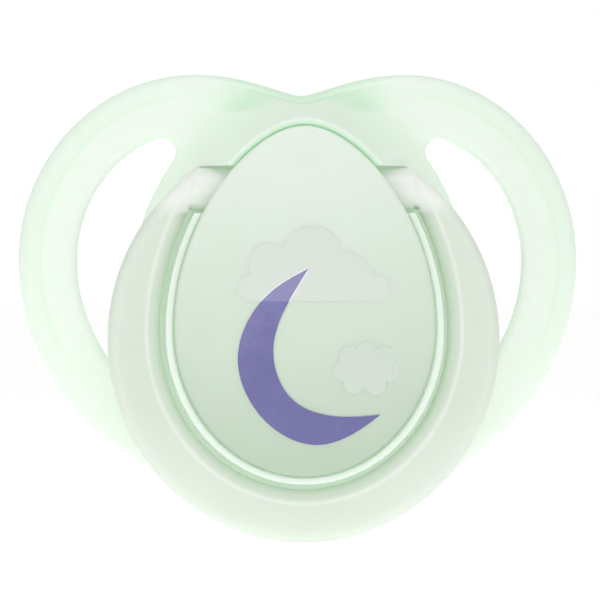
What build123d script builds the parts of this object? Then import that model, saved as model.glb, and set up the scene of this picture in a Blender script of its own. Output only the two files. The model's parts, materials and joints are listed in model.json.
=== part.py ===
from build123d import *
import os

# A soother for a small baby: a curved heart-shaped shield with two crescent openings, an
# egg-shaped button on its front, a ring handle hinged beside the button's top, and a hollow
# silicone teat that a plug locks into the shield.
#
# Frame, in millimetres: X runs across, Z runs up, and the front faces -Y. The origin is on the
# teat's axis, in the plane of the flat pad where the teat leaves the shield's mouth side.
# "Front" values below are distances ahead of that plane, so a front of 5 lies at Y = -5.

# ---- button cap -------------------------------------------------------------------------
button_width = 27.0
button_top = 18.0            # top of the egg above the teat's axis
button_bottom = -18.1
button_widest = -3.1         # height of the egg's widest line
button_shoulder = 11.5       # how far the sides run on upwards before they close in
button_crown = 5.5           # half-width of the rounded top
button_wall = 1.3
dome_front = 10.8            # furthest point of the dome
dome_radius_across = 34.0
dome_radius_up = 62.0
hub_radius = 5.0             # tube inside the cap that bears on the plug
hub_wall = 1.0

# ---- shield -----------------------------------------------------------------------------
plate_front = 3.2            # front of the plate on the teat's axis
plate_thickness = 2.8
cheek_radius = 58.0          # how the plate wraps round the face, side to side
face_radius = 110.0          # and up and down
widest_height = 4.0          # height of the line across the widest part of the loops
loop_band = 5.9
crescent_gap = 5.1           # between the body's widest half-width and the loop
lobe_spread = 10.9           # half the distance between the two lobes' tops
dip_depth = 2.2              # the dip between the lobes, below their tops
dip_flat = 1.6               # half-width of the dip's rounded bottom
lobe_run = 5.2               # how far a lobe's top runs on level towards the dip
foot_height = -21.6          # the shield's lowest point
body_margin = 3.7            # body beyond the collar, at its widest
body_centre = -2.0
body_half_height = 24.0
corner_top = 1.5             # rounding of a crescent's upper corner
corner_tip = 0.7             # and of its lower tip
crescent_foot = -11.0        # no crescent runs lower than this
edge_round = 0.9             # rounding of the plate's rims
pad_radius = 8.5             # flat pad round the teat, on the mouth side
rooting = 1.0                # how deep what stands on the plate is rooted in it

# ---- collar round the button, and the brow above it -------------------------------------
seam_gap = 0.15              # between the cap and the collar
collar_wall = 0.65
ledge_front = 7.5            # the ledge that the cap sits on
ledge_width = 0.9
collar_lip = 0.5             # collar beyond the ledge
brow_margin = 2.3            # from the collar's top to the dip
brow_flare = 3.6             # how far the brow's flanks spread from the collar to the plate
brow_setback = 0.9           # the brow starts this far inside the shield's rim

# ---- ring handle and its hinge ----------------------------------------------------------
ring_clearance = 0.55        # between the collar and the ring's opening
ring_band = 5.3
ring_foot_band = 5.45        # the band is a little wider at the bottom
ring_thickness = 3.6
ring_round = 1.0
ring_widest = -4.1
ring_crest = 16.9            # where the ring's outline would close above the arms' cut
hinge_height = 11.5
hinge_front = 5.0
knuckle_radius = 2.1
knuckle_inset = 7.0          # from the middle plane to a knuckle's inner face
knuckle_length = 4.8
pin_radius = 1.0
pin_length = 2.1
pin_clearance = 0.05
side_play = 0.35             # between a knuckle and its bearing
slot_clearance = 0.4         # round a knuckle as it turns
bearing_width = 2.9
bearing_front = 6.9          # under the cap's shell
slot_back = 2.0              # the slots run back to this distance ahead of the pad

# ---- teat and plug ----------------------------------------------------------------------
seat_front = 3.4             # flat seat for the teat's flange
neck_radius = 5.0
neck_bore = 3.4
flange_radius = 6.6
flange_thickness = 1.5
socket_clearance = 0.1
socket_wall = 1.6
socket_depth = 2.6           # the socket's wall stands this far ahead of the seat
teat_wall = 1.6
teat_length = 29.0
tip_round = 1.6
plug_head = 1.2
plug_stem_length = 7.0
plug_bore = 2.2

# ---- cap pegs ---------------------------------------------------------------------------
peg_radius = 0.9
peg_clearance = 0.05
post_wall = 0.9
post_front = 6.2
peg_end_front = 4.0
peg_side = 9.8               # the two side pegs, across
peg_side_height = -3.0
peg_low_height = -12.8
peg_high_height = 14.4

# ---- printed decoration -----------------------------------------------------------------
ink_thickness = 0.06

# ---- sizes that follow ------------------------------------------------------------------
button_half = button_width / 2
collar_grow = seam_gap + collar_wall
opening_grow = collar_grow + ring_clearance
collar_front = ledge_front + collar_lip
body_half = button_half + collar_grow + body_margin
shield_half = body_half + crescent_gap + loop_band
dip_height = button_top + collar_grow + brow_margin
lobe_height = dip_height + dip_depth
plate_back = plate_front - plate_thickness
knuckle_top = hinge_height + knuckle_radius
knuckle_foot = hinge_height - knuckle_radius
slot_top = knuckle_top + slot_clearance
slot_foot = knuckle_foot - slot_clearance
bearing_face = knuckle_inset - side_play
socket_radius = flange_radius + socket_clearance
flange_front = seat_front + flange_thickness
plug_front = flange_front + plug_head
peg_spots = [
    (0, peg_low_height),
    (0, peg_high_height),
    (-peg_side, peg_side_height),
    (peg_side, peg_side_height),
]
far = 60.0                   # longer than the shield is deep, for cuts that run right through

os.makedirs("parts", exist_ok=True)


def egg(half_width, widest, top, bottom, shoulder, crown):
    """An egg-shaped face: an elliptical foot under two curved sides that meet in a round top."""
    with BuildSketch() as outline:
        with BuildLine():
            EllipticalCenterArc((0, widest), half_width, widest - bottom, 180, arc_size=180)
            Bezier((half_width, widest), (half_width, widest + shoulder), (crown, top), (0, top))
            Bezier((0, top), (-crown, top), (-half_width, widest + shoulder), (-half_width, widest))
        make_face()
    return outline.sketch


def button_egg(grow):
    """The button's outline, moved outwards by grow."""
    return egg(
        button_half + grow,
        button_widest,
        button_top + grow,
        button_bottom - grow,
        button_shoulder + grow / 2,
        button_crown + grow / 2,
    )


def half_heart(inset):
    """The right half of the shield's outline, moved inwards by inset."""
    side = shield_half - inset
    lobe_top = lobe_height - inset
    dip = dip_height - inset
    with BuildSketch() as outline:
        with BuildLine():
            lobe_start = (lobe_spread - lobe_run, lobe_top)
            Bezier((0, dip), (dip_flat, dip), lobe_start, (lobe_spread, lobe_top))
            lobe_centre = (lobe_spread, widest_height)
            EllipticalCenterArc(lobe_centre, side - lobe_spread, lobe_top - widest_height, 0, arc_size=90)
            lower_half = widest_height - foot_height - inset
            EllipticalCenterArc((0, widest_height), side, lower_half, 270, arc_size=90)
            Line((0, foot_height + inset), (0, dip))
        make_face()
    return outline.sketch


def barrel(front, radius_across, radius_up):
    """A solid bounded ahead by a surface that bulges both ways, furthest out at Y = -front."""
    reach = radius_up * 0.75
    drop = radius_up - (radius_up**2 - reach**2) ** 0.5
    with BuildPart() as solid:
        with BuildSketch(Plane.YZ):
            with BuildLine():
                ThreePointArc((drop - front, -reach), (-front, 0), (drop - front, reach))
                Polyline(
                    (drop - front, reach),
                    (radius_across - front, reach),
                    (radius_across - front, -reach),
                    (drop - front, -reach),
                )
            make_face()
        revolve(axis=Axis((0, radius_across - front, 0), (0, 0, 1)))
    return solid.part


def prism(face, front_low, front_high):
    """A face drawn as seen from the front, made solid between two distances ahead of the pad."""
    with BuildPart() as solid:
        with BuildSketch(Plane.XZ.offset(front_low)):
            add(face)
        extrude(amount=front_high - front_low)
    return solid.part


# ---- crescent openings ------------------------------------------------------------------
loop_inner_half = shield_half - loop_band
with BuildPart() as crescents:
    with BuildSketch(Plane.XZ.offset(-far / 2)):
        with BuildLine():
            foot = EllipticalCenterArc(
                (0, widest_height),
                loop_inner_half,
                widest_height - foot_height - loop_band,
                270,
                arc_size=90,
            )
            lobe = EllipticalCenterArc(
                (lobe_spread, widest_height),
                loop_inner_half - lobe_spread,
                lobe_height - loop_band - widest_height,
                0,
                arc_size=150,
            )
            Line(lobe @ 1, foot @ 0)
        make_face()
        with Locations((0, body_centre)):
            Ellipse(body_half, body_half_height, mode=Mode.SUBTRACT)
        with Locations((0, crescent_foot - far / 2)):
            Rectangle(far, far, mode=Mode.SUBTRACT)
    extrude(amount=far)
    fillet(crescents.edges().filter_by(Axis.Y).sort_by(Axis.Z)[-1], corner_top)
    fillet(crescents.edges().filter_by(Axis.Y).sort_by(Axis.Z)[0], corner_tip)
    mirror(about=Plane.YZ)

# ---- brow: the rise that joins the collar's top to the dip -------------------------------
with BuildPart() as brow:
    with BuildSketch(Plane.XZ.offset(plate_back + rooting)):
        add(button_egg(collar_grow + brow_flare))
    with BuildSketch(Plane.XZ.offset(collar_front)):
        add(button_egg(collar_grow))
    loft(ruled=True)
    with BuildSketch(Plane.XZ.offset(-far / 2)):
        with Locations((0, slot_top + far / 2)):
            Rectangle(far, far)
    extrude(amount=far, mode=Mode.INTERSECT)
    with BuildSketch(Plane.XZ.offset(-far / 2)):
        add(half_heart(brow_setback))
        mirror(about=Plane.YZ)
    extrude(amount=far, mode=Mode.INTERSECT)

# ---- shield -----------------------------------------------------------------------------
with BuildPart() as shield:
    with BuildSketch(Plane.XZ.offset(-far / 2)):
        add(half_heart(0))
        mirror(about=Plane.YZ)
    extrude(amount=far)
    add(barrel(plate_front, cheek_radius, face_radius), mode=Mode.INTERSECT)
    add(
        barrel(plate_back, cheek_radius - plate_thickness, face_radius - plate_thickness),
        mode=Mode.SUBTRACT,
    )
    add(crescents.part, mode=Mode.SUBTRACT)
    fillet(shield.edges(), edge_round)
    # collar, brow, socket, bearings and posts all grow from the plate
    footing = barrel(plate_front - rooting, cheek_radius - rooting, face_radius - rooting)
    add(prism(button_egg(collar_grow), plate_back + rooting, collar_front) - footing)
    add(brow.part - footing)
    add(prism(button_egg(-ledge_width), plate_front, collar_front), mode=Mode.SUBTRACT)
    add(prism(button_egg(seam_gap), ledge_front, dome_front), mode=Mode.SUBTRACT)
    # slots that let the ring's knuckles turn
    with BuildSketch(Plane.YZ.offset(bearing_face)) as slot:
        with Locations((-slot_back - far / 2, (slot_top + slot_foot) / 2)):
            Rectangle(far, slot_top - slot_foot)
    extrude(amount=far, mode=Mode.SUBTRACT)
    with BuildSketch(Plane.YZ.offset(-bearing_face)):
        with Locations((-slot_back - far / 2, (slot_top + slot_foot) / 2)):
            Rectangle(far, slot_top - slot_foot)
    extrude(amount=-far, mode=Mode.SUBTRACT)
    # socket for the teat's flange
    with BuildSketch(Plane.XZ.offset(plate_back + rooting)):
        Circle(socket_radius + socket_wall)
    extrude(amount=seat_front + socket_depth - plate_back - rooting)
    with BuildSketch(Plane.XZ.offset(seat_front)):
        Circle(socket_radius)
    extrude(amount=socket_depth, mode=Mode.SUBTRACT)
    # bearings for the hinge pins
    for side in (-1, 1):
        with BuildSketch(Plane.YZ.offset(side * bearing_face)):
            with Locations((-(plate_front - rooting + bearing_front) / 2, hinge_height)):
                Rectangle(bearing_front - plate_front + rooting, slot_top - slot_foot)
        extrude(amount=-side * bearing_width)
        with BuildSketch(Plane.YZ.offset(side * bearing_face)):
            with Locations((-hinge_front, hinge_height)):
                Circle(pin_radius + pin_clearance)
        extrude(amount=-side * bearing_width, mode=Mode.SUBTRACT)
    # posts for the cap's pegs
    with BuildSketch(Plane.XZ.offset(plate_front - rooting)):
        with Locations(*peg_spots):
            Circle(peg_radius + peg_clearance + post_wall)
    extrude(amount=post_front - plate_front + rooting)
    with BuildSketch(Plane.XZ.offset(peg_end_front - peg_clearance)):
        with Locations(*peg_spots):
            Circle(peg_radius + peg_clearance)
    extrude(amount=post_front, mode=Mode.SUBTRACT)
    # flat pad behind, and the hole for the teat's neck
    with BuildSketch(Plane.XZ):
        Circle(pad_radius)
    extrude(amount=plate_back + rooting)
    with BuildSketch(Plane.XZ.offset(-far / 2)):
        Circle(neck_radius + socket_clearance)
    extrude(amount=far / 2 + seat_front, mode=Mode.SUBTRACT)
shield.part.label = "shield"
export_step(shield.part, "parts/shield.step")

# ---- ring handle ------------------------------------------------------------------------
ring_half = button_half + opening_grow + ring_band
round_share = 0.5523         # handle length that makes a quarter ellipse
ring_outline = egg(
    ring_half,
    ring_widest,
    ring_crest,
    button_bottom - opening_grow - ring_foot_band,
    round_share * (ring_crest - ring_widest),
    round_share * ring_half,
)
with BuildPart() as ring_handle:
    with BuildSketch(Plane.XZ.offset(hinge_front - ring_thickness / 2)):
        add(ring_outline)
        add(button_egg(opening_grow), mode=Mode.SUBTRACT)
    extrude(amount=ring_thickness)
    front_edges = ring_handle.edges().group_by(Axis.Y)[0]
    back_edges = ring_handle.edges().group_by(Axis.Y)[-1]
    fillet(front_edges + back_edges, ring_round)
    with BuildSketch(Plane.XZ.offset(-far / 2)):
        with Locations((0, knuckle_top + far / 2)):
            Rectangle(far, far)
    extrude(amount=far, mode=Mode.SUBTRACT)
    # the arms' ends are rounded about the hinge
    with BuildSketch(Plane.YZ.offset(-far / 2)):
        with Locations((-hinge_front, hinge_height + knuckle_radius)):
            Rectangle(far, 2 * knuckle_radius)
        with Locations((-hinge_front, hinge_height)):
            Circle(knuckle_radius, mode=Mode.SUBTRACT)
    extrude(amount=far, mode=Mode.SUBTRACT)
    for side in (-1, 1):
        with BuildSketch(Plane.YZ.offset(side * knuckle_inset)):
            with Locations((-hinge_front, hinge_height)):
                Circle(knuckle_radius)
        extrude(amount=side * knuckle_length)
        with BuildSketch(Plane.YZ.offset(side * knuckle_inset)):
            with Locations((-hinge_front, hinge_height)):
                Circle(pin_radius)
        extrude(amount=-side * pin_length)
    add(prism(ring_outline, -far / 2, far / 2), mode=Mode.INTERSECT)
ring_handle.part.label = "ring_handle"
export_step(ring_handle.part, "parts/ring_handle.step")

# ---- button cap -------------------------------------------------------------------------
dome = barrel(dome_front, dome_radius_across, dome_radius_up)
dome_inside = barrel(
    dome_front - button_wall, dome_radius_across - button_wall, dome_radius_up - button_wall
)
half_wall = button_wall / 2
dome_middle = barrel(dome_front - half_wall, dome_radius_across - half_wall, dome_radius_up - half_wall)
with BuildSketch() as hub:
    Circle(hub_radius)
    Circle(hub_radius - hub_wall, mode=Mode.SUBTRACT)
with BuildSketch() as pegs:
    with Locations(*peg_spots):
        Circle(peg_radius)
with BuildPart() as button_cap:
    add(prism(button_egg(0), ledge_front, dome_front) & dome)
    add(prism(button_egg(-button_wall), ledge_front, dome_front) & dome_inside, mode=Mode.SUBTRACT)
    add(prism(hub.sketch, plug_front, dome_front) & dome_middle)
    add(prism(pegs.sketch, peg_end_front, dome_front) & dome_middle)
button_cap.part.label = "button_cap"
export_step(button_cap.part, "parts/button_cap.step")

# ---- teat -------------------------------------------------------------------------------
# Each station is a distance behind the pad and the oval's half-width and half-height there.
teat_stations = [
    (0.0, neck_radius, neck_radius),
    (5.0, 4.9, 4.7),
    (10.0, 5.4, 4.5),
    (16.0, 7.1, 5.1),
    (22.0, 7.8, 5.5),
    (26.0, 6.8, 4.8),
    (teat_length, 3.8, 2.6),
]
with BuildPart() as teat:
    for back, half_width, half_height in teat_stations:
        with BuildSketch(Plane.XZ.offset(-back)):
            Ellipse(half_width, half_height)
    loft()
    fillet(teat.faces().sort_by(Axis.Y)[-1].edges(), tip_round)
    for back, half_width, half_height in teat_stations:
        reach = min(back, teat_length - teat_wall)
        with BuildSketch(Plane.XZ.offset(-reach)):
            Ellipse(half_width - teat_wall, half_height - teat_wall)
    loft(mode=Mode.SUBTRACT)
    with BuildSketch(Plane.XZ):
        Circle(neck_radius)
    extrude(amount=flange_front)
    with BuildSketch(Plane.XZ.offset(seat_front)):
        Circle(flange_radius)
    extrude(amount=flange_thickness)
    with BuildSketch(Plane.XZ):
        Circle(neck_bore)
    extrude(amount=flange_front, mode=Mode.SUBTRACT)
teat.part.label = "teat"
export_step(teat.part, "parts/teat.step")

# ---- plug that holds the teat in the shield ----------------------------------------------
with BuildPart() as teat_plug:
    with BuildSketch(Plane.XZ.offset(flange_front)):
        Circle(flange_radius)
    extrude(amount=plug_head)
    with BuildSketch(Plane.XZ.offset(flange_front)):
        Circle(neck_bore - socket_clearance)
        Circle(plug_bore, mode=Mode.SUBTRACT)
    extrude(amount=-plug_stem_length)
teat_plug.part.label = "teat_plug"
export_step(teat_plug.part, "parts/teat_plug.step")

# ---- printed decoration: a moon over a large cloud, and a small cloud --------------------
moon_upper_tip = (0.2, 3.3)
moon_lower_tip = (7.7, -11.7)
with BuildSketch() as moon_outline:
    with BuildLine():
        Spline(
            moon_upper_tip, (-3.3, 1.2), (-6.2, -2.5), (-7.0, -6.0), (-5.6, -10.5),
            (-2.6, -13.6), (1.1, -14.8), (5.0, -13.6), moon_lower_tip,
        )
        Spline(
            moon_lower_tip, (3.6, -11.9), (-1.2, -10.3), (-3.4, -5.2), (-1.9, -0.2), moon_upper_tip
        )
    make_face()

# Each bump of a cloud is a circle: across, up and radius.
large_cloud_bumps = [(-5.65, 1.25), (-3.85, 3.85), (0.6, 4.45), (3.9, 2.0), (7.1, 1.25)]
large_cloud_radii = [1.4, 2.1, 3.2, 3.0, 1.45]
large_cloud_base = -0.1
large_cloud_middle = 0.7
large_cloud_fill = 2.0       # height of the solid middle above the flat base
small_cloud_centre = (6.2, -6.9)
small_cloud_bumps = [
    (0.0, 1.65), (-1.8, 1.2), (1.9, 1.15), (-2.4, -0.3), (2.4, -0.3), (-1.3, -1.55), (1.0, -1.7)
]
small_cloud_bump_radius = 1.05
small_cloud_half_width = 2.6
small_cloud_half_height = 1.8

with BuildSketch() as large_cloud_outline:
    for spot, radius in zip(large_cloud_bumps, large_cloud_radii):
        with Locations(spot):
            Circle(radius)
    with Locations((large_cloud_middle, large_cloud_base)):
        Rectangle(large_cloud_bumps[-1][0] - large_cloud_bumps[0][0], 2 * large_cloud_fill)
    with Locations((0, large_cloud_base - far / 2)):
        Rectangle(far, far, mode=Mode.SUBTRACT)
    add(moon_outline.sketch, mode=Mode.SUBTRACT)

with BuildSketch() as small_cloud_outline:
    with Locations(small_cloud_centre):
        Ellipse(small_cloud_half_width, small_cloud_half_height)
    for across, up in small_cloud_bumps:
        with Locations((small_cloud_centre[0] + across, small_cloud_centre[1] + up)):
            Circle(small_cloud_bump_radius)

ink_face = barrel(
    dome_front + ink_thickness, dome_radius_across + ink_thickness, dome_radius_up + ink_thickness
)
ink_film = ink_face - dome
for name, outline in (
    ("moon_print", moon_outline),
    ("large_cloud_print", large_cloud_outline),
    ("small_cloud_print", small_cloud_outline),
):
    with BuildPart() as ink:
        add(prism(outline.sketch, ledge_front, dome_front + button_wall))
        add(ink_film, mode=Mode.INTERSECT)
    ink.part.label = name
    export_step(ink.part, f"parts/{name}.step")
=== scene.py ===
"""A baby's soother: finished surfaces, materials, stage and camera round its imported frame.

Lengths are worked out in millimetres: x runs across, z runs up, and a "front" is a distance ahead
of the teat's pad, so a front of 5 lies at y = -5. Meshes are written in metres.
"""
import json
import math
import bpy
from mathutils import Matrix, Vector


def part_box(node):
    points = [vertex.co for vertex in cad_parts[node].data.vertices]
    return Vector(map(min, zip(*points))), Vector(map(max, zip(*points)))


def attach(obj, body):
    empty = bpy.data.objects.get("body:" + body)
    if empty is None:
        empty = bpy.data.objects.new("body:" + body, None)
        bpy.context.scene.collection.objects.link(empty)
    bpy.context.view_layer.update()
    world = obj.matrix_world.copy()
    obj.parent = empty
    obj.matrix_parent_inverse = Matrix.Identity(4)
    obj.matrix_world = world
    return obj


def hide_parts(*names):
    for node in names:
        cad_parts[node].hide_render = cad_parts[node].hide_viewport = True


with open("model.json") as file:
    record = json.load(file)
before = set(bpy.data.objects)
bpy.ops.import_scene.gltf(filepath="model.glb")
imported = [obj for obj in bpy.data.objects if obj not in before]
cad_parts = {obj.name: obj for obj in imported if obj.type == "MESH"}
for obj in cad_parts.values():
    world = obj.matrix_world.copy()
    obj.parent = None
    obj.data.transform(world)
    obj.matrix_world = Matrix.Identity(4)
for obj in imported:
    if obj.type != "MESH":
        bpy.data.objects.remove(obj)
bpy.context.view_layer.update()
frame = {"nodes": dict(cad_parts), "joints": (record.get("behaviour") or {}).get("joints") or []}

from types import SimpleNamespace

import bmesh
import bpy
import numpy as np
from bpy.props import FloatProperty, FloatVectorProperty, PointerProperty
from bpy.types import Operator, Panel, PropertyGroup
from mathutils import Vector

bl_info = {
    "name": "Soother",
    "version": (1, 0, 0),
    "blender": (4, 5, 0),
    "location": "View3D > Sidebar > Soother",
    "description": "Builds a baby's soother with a hinged ring handle round its packed frame",
    "category": "Add Mesh",
}

SOOTHER, RING = "soother_body", "ring"
MM = 0.001


def box_mm(node):
    """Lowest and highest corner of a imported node, in millimetres."""
    low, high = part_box(node)
    return low / MM, high / MM


SHIELD_LOW, SHIELD_HIGH = box_mm("shield")
RING_LOW, RING_HIGH = box_mm("ring_handle")
CAP_LOW, CAP_HIGH = box_mm("button_cap")
TEAT_LOW, TEAT_HIGH = box_mm("teat")
HINGE = Vector(frame["joints"][0]["pos_m"]) / MM


# ---- sizes and colours that a user would change ------------------------------------------


def length(name, millimetres, description):
    """A size in the sidebar, given here in millimetres and kept in metres."""
    return FloatProperty(
        name=name, description=description, default=millimetres * MM, unit="LENGTH", precision=5
    )


def colour(name, hex_value, description):
    """A colour in the sidebar, from its sRGB hex value."""
    return FloatVectorProperty(
        name=name, description=description, subtype="COLOR", size=3, min=0, max=1,
        default=linear(hex_value),
    )


def linear(hex_value):
    """sRGB hex to linear: the two-part curve that displays use, undone."""
    parts = [int(hex_value[k : k + 2], 16) / 255 for k in (0, 2, 4)]
    return [p / 12.92 if p <= 0.04045 else ((p + 0.055) / 1.055) ** 2.4 for p in parts]


class ShieldSizes(PropertyGroup):
    half_width: length("Half width", SHIELD_HIGH.x, "Middle to the outside of a loop")
    lobe_height: length("Lobe height", SHIELD_HIGH.z, "Top of the two lobes")
    foot_height: length("Foot height", SHIELD_LOW.z, "Lowest point of the shield")
    widest_height: length("Widest height", 4.0, "Height of the loops' widest line")
    lobe_spread: length("Lobe spread", 10.9, "Middle to a lobe's top")
    lobe_run: length("Lobe run", 5.2, "How far a lobe's top runs on level towards the dip")
    dip_depth: length("Dip depth", 2.2, "The dip below the lobes' tops")
    dip_flat: length("Dip flat", 1.6, "Half-width of the dip's rounded bottom")
    loop_band: length("Loop band", 5.9, "Width of the loops outside the crescents")
    body_half: length("Body half width", 18.0, "Middle to a crescent's inner edge")
    body_centre: length("Body centre", -2.0, "Height of the body ellipse's centre")
    body_half_height: length("Body half height", 24.0, "Half-height of the body ellipse")
    corner_top: length("Upper corner", 1.5, "Rounding of a crescent's upper corner")
    corner_tip: length("Lower tip", 0.7, "Rounding of a crescent's lower tip")
    plate_front: length("Plate front", 3.2, "Front of the plate on the teat's axis")
    plate_thickness: length("Plate thickness", 2.8, "Thickness of the plate")
    cheek_radius: length("Cheek radius", 58.0, "How the plate wraps round the face, side to side")
    face_radius: length("Face radius", 110.0, "How the plate curves up and down")
    edge_round: length("Edge rounding", 0.9, "Rounding of the plate's rims")
    crease_inset: length("Crease inset", 2.15, "Crease on the loops inside their outer edge")
    crease_fall: length("Crease fall", 0.42, "How far the loops fall from the crease to the rim")
    pad_radius: length("Pad radius", 8.5, "Flat pad round the teat")
    brow_flare: length("Brow flare", 3.6, "Spread of the brow's flanks")
    brow_setback: length("Brow setback", 0.9, "The brow starts this far inside the rim")
    brow_root: length("Brow root", 1.4, "Front that the brow's flanks run down to")
    brow_blend: length("Brow blend", 1.7, "Softness where the brow's flanks meet the plate")
    brow_edge: length("Brow edge", 0.35, "Rounding of the brow's edge in the dip")


class CollarSizes(PropertyGroup):
    seam: length("Seam", 0.15, "Gap between the cap and the collar")
    wall: length("Wall", 0.65, "Thickness of the collar")
    front: length("Front", 8.0, "Front of the collar's rim")
    ledge: length("Ledge", 7.5, "Front of the ledge that the cap sits on")
    ledge_width: length("Ledge width", 0.9, "How far the ledge runs in under the cap")
    lip: length("Rim rounding", 0.15, "Rounding of the collar's rim")
    slot_foot: length("Slot foot", 9.0, "Lower end of the hinge slots")
    slot_top: length("Slot top", 13.9, "Upper end of the hinge slots")
    slot_back: length("Slot back", 2.0, "Front of the slots' floor")
    socket_radius: length("Socket radius", 6.7, "Inside of the teat's socket")
    socket_wall: length("Socket wall", 1.6, "Wall of the teat's socket")
    socket_front: length("Socket front", 6.0, "Front of the socket's wall")
    seat: length("Seat", 3.4, "Front of the seat for the teat's flange")
    neck_hole: length("Neck hole", 5.1, "Radius of the hole for the teat's neck")
    bearing_face: length("Bearing face", 6.65, "Middle to a bearing's outer face")
    bearing_width: length("Bearing width", 2.9, "Width of a bearing")
    bearing_front: length("Bearing front", 6.9, "Front of the bearings")
    bearing_bore: length("Bearing bore", 1.05, "Radius of the bores for the hinge pins")
    post_radius: length("Post radius", 1.85, "Outside of the posts for the cap's pegs")
    post_bore: length("Post bore", 0.95, "Bore of the posts")
    post_front: length("Post front", 6.2, "Front of the posts")
    post_floor: length("Post floor", 3.95, "Front of the bottom of the posts' bores")


class CapSizes(PropertyGroup):
    half_width: length("Half width", CAP_HIGH.x, "Half the egg's width")
    top: length("Top", CAP_HIGH.z, "Top of the egg")
    bottom: length("Bottom", CAP_LOW.z, "Bottom of the egg")
    widest: length("Widest height", -3.1, "Height of the egg's widest line")
    shoulder: length("Shoulder", 11.5, "How far the sides run on upwards")
    crown: length("Crown", 5.5, "Half-width of the rounded top")
    dome_front: length("Dome front", -CAP_LOW.y, "Furthest point of the dome")
    radius_across: length("Radius across", 34.0, "Dome's curve side to side")
    radius_up: length("Radius up", 62.0, "Dome's curve up and down")
    wall: length("Wall", 1.3, "Thickness of the cap")
    rim: length("Rim rounding", 0.35, "Rounding of the cap's rim")
    hub_radius: length("Hub radius", 5.0, "Tube that bears on the plug")
    hub_wall: length("Hub wall", 1.0, "Wall of that tube")
    hub_front: length("Hub foot", 6.1, "Front of the tube's free end")
    peg_radius: length("Peg radius", 0.9, "Radius of the pegs")
    peg_front: length("Peg foot", -CAP_HIGH.y, "Front of the pegs' free ends")


class RingSizes(PropertyGroup):
    half_width: length("Half width", RING_HIGH.x, "Half the ring's width")
    foot: length("Foot", RING_LOW.z, "Lowest point of the ring")
    widest: length("Widest height", -4.1, "Height of the ring's widest line")
    crest: length("Crest", 16.9, "Where the outline would close above the arms")
    opening: length("Opening", 1.35, "The opening beyond the cap's outline")
    thickness: length("Thickness", 3.6, "Thickness of the band")
    rounding: length("Rounding", 1.0, "Rounding of the band's edges")
    crease_inset: length("Crease inset", 1.25, "Crease outside the opening's edge")
    crease_fall: length("Crease fall", 0.3, "How far the band falls from the crease inwards")
    knuckle_radius: length("Knuckle radius", 2.1, "Radius of the hinge knuckles")
    knuckle_inset: length("Knuckle inset", 7.0, "Middle to a knuckle's inner face")
    knuckle_length: length("Knuckle length", 4.8, "Length of a knuckle")
    pin_radius: length("Pin radius", 1.0, "Radius of the hinge pins")
    pin_length: length("Pin length", 2.1, "Length of the hinge pins")


class TeatSizes(PropertyGroup):
    length: length("Length", TEAT_HIGH.y, "Reach of the teat behind the pad")
    neck: length("Neck", 5.0, "Radius of the neck")
    bore: length("Bore", 3.4, "Radius of the neck's bore")
    flange: length("Flange", TEAT_HIGH.z, "Radius of the flange")
    flange_front: length("Flange front", -TEAT_LOW.y, "Front of the flange")
    flange_back: length("Flange back", 3.4, "Back of the flange, ahead of the pad")
    wall: length("Wall", 1.6, "Thickness of the silicone")


class PrintSizes(PropertyGroup):
    cloud_lift: length("Cloud ink", 0.06, "Thickness of the clouds' ink")
    halo_lift: length("Halo ink", 0.075, "Thickness of the white line round the moon's tip")
    moon_lift: length("Moon ink", 0.09, "The moon's ink, printed over the cloud")
    halo: length("Halo width", 0.13, "Width of the white line")
    root: length("Root", 0.03, "How deep the ink's edges reach into the cap")


class Finishes(PropertyGroup):
    # The second colour of each plastic is its painted shade, mixed in by the piece's "depth" attribute; the
    # cap's paler top and darker foot are painted light and painted shade.
    shield: colour("Shield", "EEF4EC", "Mint plastic where it faces ahead")
    shield_shaded: colour("Shield, deep", "C9EACD", "Mint plastic where it turns away")
    ring: colour("Ring", "F2F5F0", "Milky plastic where it faces ahead")
    ring_shaded: colour("Ring, deep", "C2CEBE", "Milky plastic where it turns away")
    cap: colour("Cap", "EFFAEE", "Cap at its top")
    cap_shaded: colour("Cap, deep", "B8CAB6", "Cap at its foot")
    silicone: colour("Silicone", "EEF0EA", "Teat")
    plug: colour("Plug", "E8ECE6", "Plug that locks the teat")
    moon: colour("Moon", "8381B5", "Lilac ink")
    moon_dark: colour("Moon, dark", "7370A8", "Its darker grain")
    moon_tip: colour("Moon, tip", "9694C0", "Lilac ink over white")
    cloud: colour("Cloud", "DCE7DC", "White ink")
    halo: colour("Halo", "FBFDFB", "Thick white ink")
    floor: colour("Floor", "FBFBFA", "Matt card under the soother")


GROUPS = {
    "soother_shield": ShieldSizes,
    "soother_collar": CollarSizes,
    "soother_cap": CapSizes,
    "soother_ring": RingSizes,
    "soother_teat": TeatSizes,
    "soother_print": PrintSizes,
}


def sizes(name):
    """A group's sizes in millimetres."""
    group = getattr(bpy.context.scene, name)
    return SimpleNamespace(**{key: getattr(group, key) / MM for key in GROUPS[name].__annotations__})


# ---- paths: arrays of (x, z) points ------------------------------------------------------


def bezier(corners, count=200):
    """A cubic curve: its four control points, each weighted by its Bernstein share."""
    u = np.linspace(0, 1, count)[:, None]
    a, b, c, d = np.array(corners, float)
    return (1 - u) ** 3 * a + 3 * u * (1 - u) ** 2 * b + 3 * u**2 * (1 - u) * c + u**3 * d


def arc(centre, radii, start, sweep, count=200):
    """Part of an ellipse: its centre, plus each radius times the angle's cosine or sine."""
    angle = np.radians(start + sweep * np.linspace(0, 1, count))
    return np.array(centre) + np.stack([np.cos(angle), np.sin(angle)], axis=1) * radii


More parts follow.
